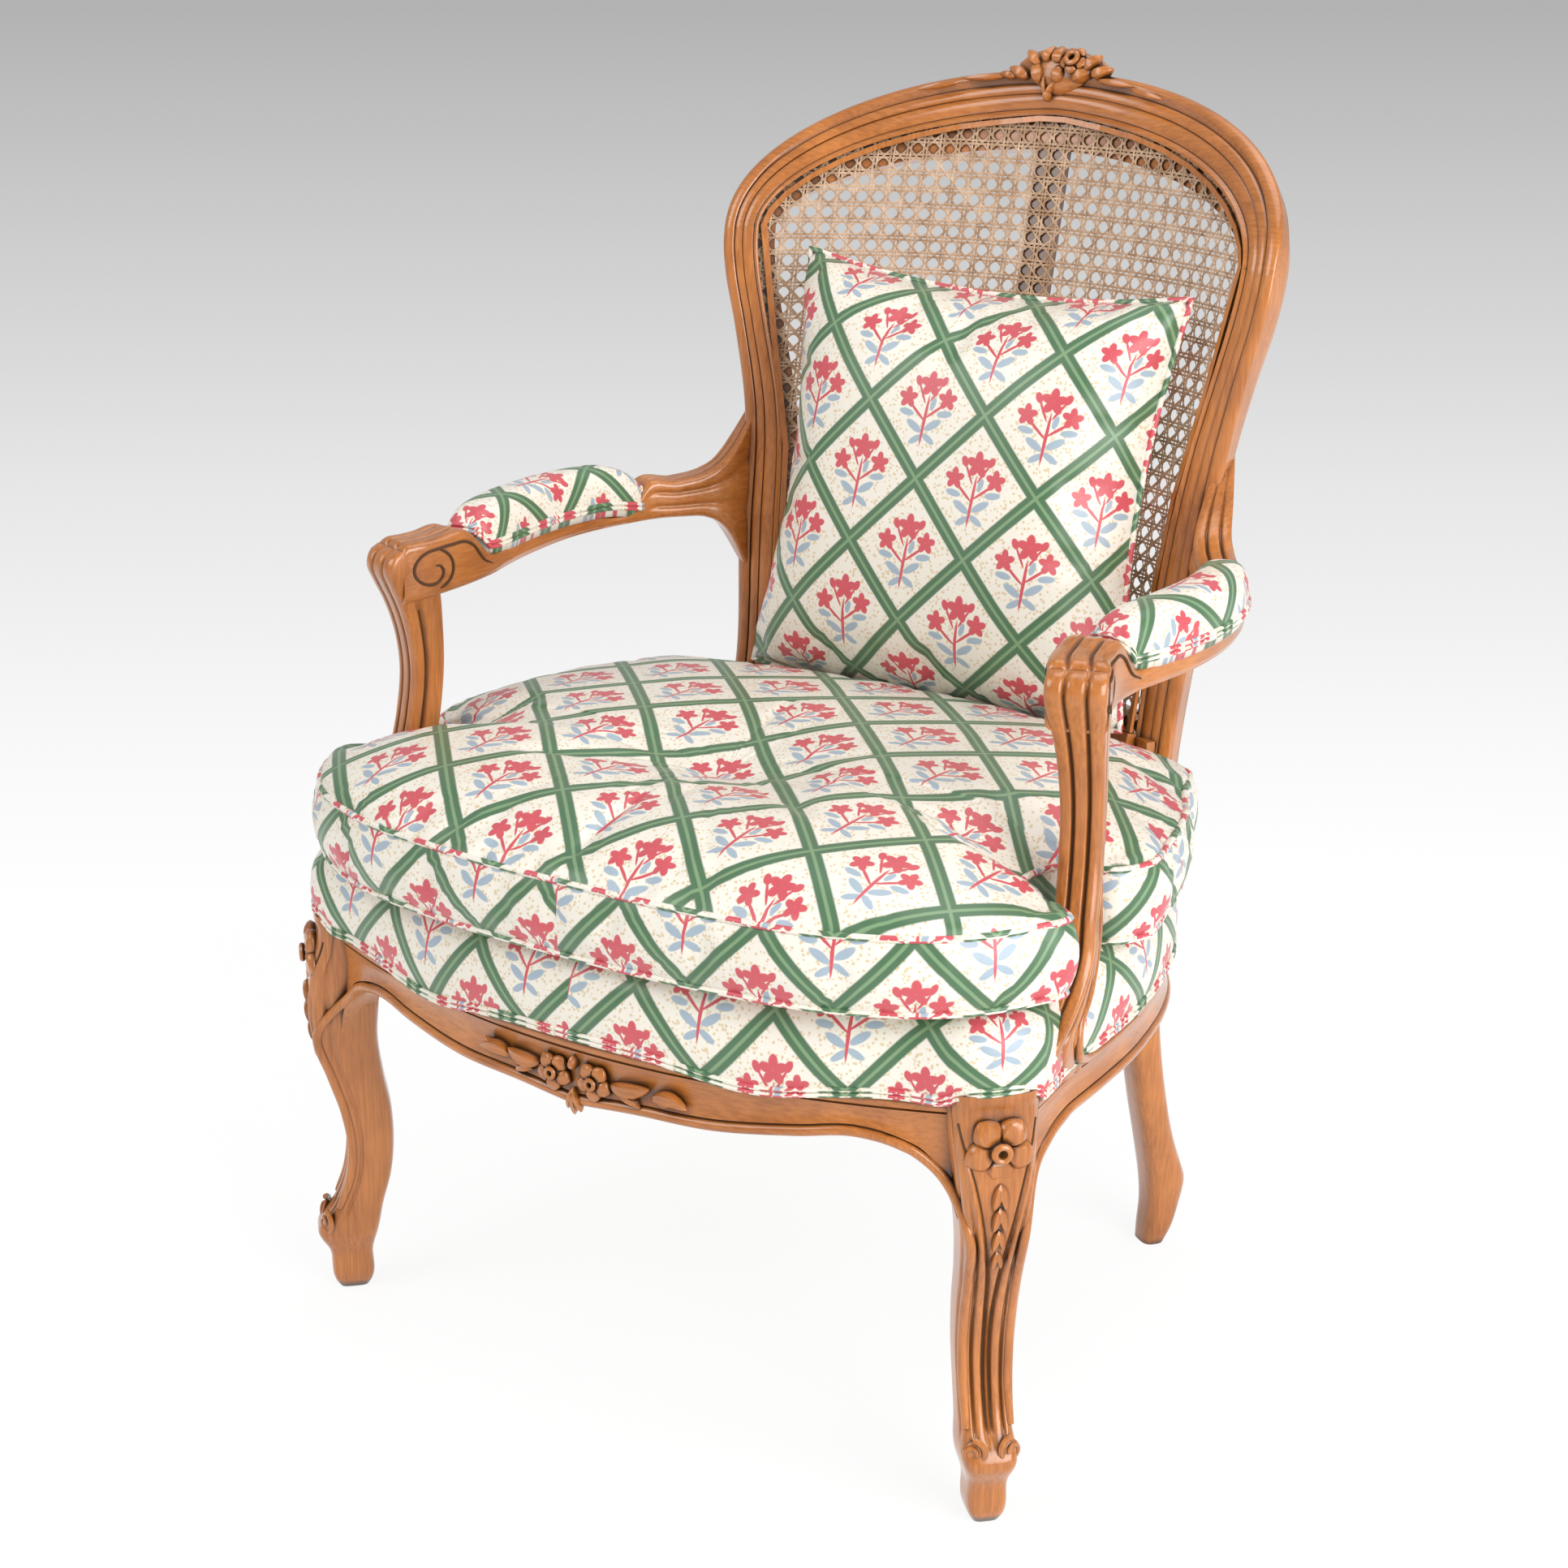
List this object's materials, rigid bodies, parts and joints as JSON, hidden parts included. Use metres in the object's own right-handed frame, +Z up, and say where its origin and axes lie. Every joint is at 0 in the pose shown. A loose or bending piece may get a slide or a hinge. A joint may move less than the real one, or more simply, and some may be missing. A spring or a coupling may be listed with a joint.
{
  "type": "caned fauteuil",
  "caption": "Carved open armchair with a concave cane back, padded arms, cabriole legs, a tight seat deck, a loose boxed seat cushion and a loose knife-edge pillow.",
  "frame": {"origin": "middle of the footprint on the floor", "axes": "+Z up, the chair faces -Y, X runs across the seat and x = 0 is the plane of symmetry"},
  "size_m": [0.69, 0.7357, 0.9953],
  "materials": {
    "fruitwood": "satin lacquer over a honey stain",
    "beech": "plain",
    "cane": "woven cane",
    "cover": "glazed printed cotton",
    "jute": "woven strap",
    "steel": "plain"
  },
  "bodies": {
    "frame": {"crest_rail": "fruitwood", "rear_stile_left": "fruitwood", "rear_stile_right": "fruitwood", "lower_back_rail": "fruitwood", "back_brace": "fruitwood", "front_leg_left": "fruitwood", "front_leg_right": "fruitwood", "front_rail": "fruitwood", "side_rail_left": "fruitwood", "side_rail_right": "fruitwood", "rear_rail": "beech", "arm_left": "fruitwood", "arm_right": "fruitwood", "arm_post_left": "fruitwood", "arm_post_right": "fruitwood", "front_block_left": "beech", "front_block_right": "beech", "rear_block_left": "beech", "rear_block_right": "beech", "front_screw_left": "steel", "front_screw_right": "steel", "front_side_screw_left": "steel", "front_side_screw_right": "steel", "rear_screw_left": "steel", "rear_screw_right": "steel", "rear_side_screw_left": "steel", "rear_side_screw_right": "steel", "cane_panel_1": "cane", "cane_panel_2": "cane", "cane_panel_3": "cane", "cane_panel_4": "cane", "cane_panel_5": "cane", "cane_spline": "cane", "webbing_long_1": "jute", "webbing_long_2": "jute", "webbing_long_3": "jute", "webbing_cross_1": "jute", "webbing_cross_2": "jute", "webbing_cross_3": "jute", "seat_deck": "cover", "arm_pad_left": "cover", "arm_pad_right": "cover"},
    "seat_cushion": {"seat_cushion": "cover"},
    "back_pillow": {"back_pillow": "cover"}
  },
  "joints": [
    {"name": "cushion_lift", "type": "slide", "parent": "frame", "child": "seat_cushion", "axis": [0, 0, 1], "range_m": [0, 0.08]},
    {"name": "pillow_away", "type": "slide", "parent": "seat_cushion", "child": "back_pillow", "axis": [0, -0.7071, 0.7071], "range_m": [0, 0.3]}
  ]
}
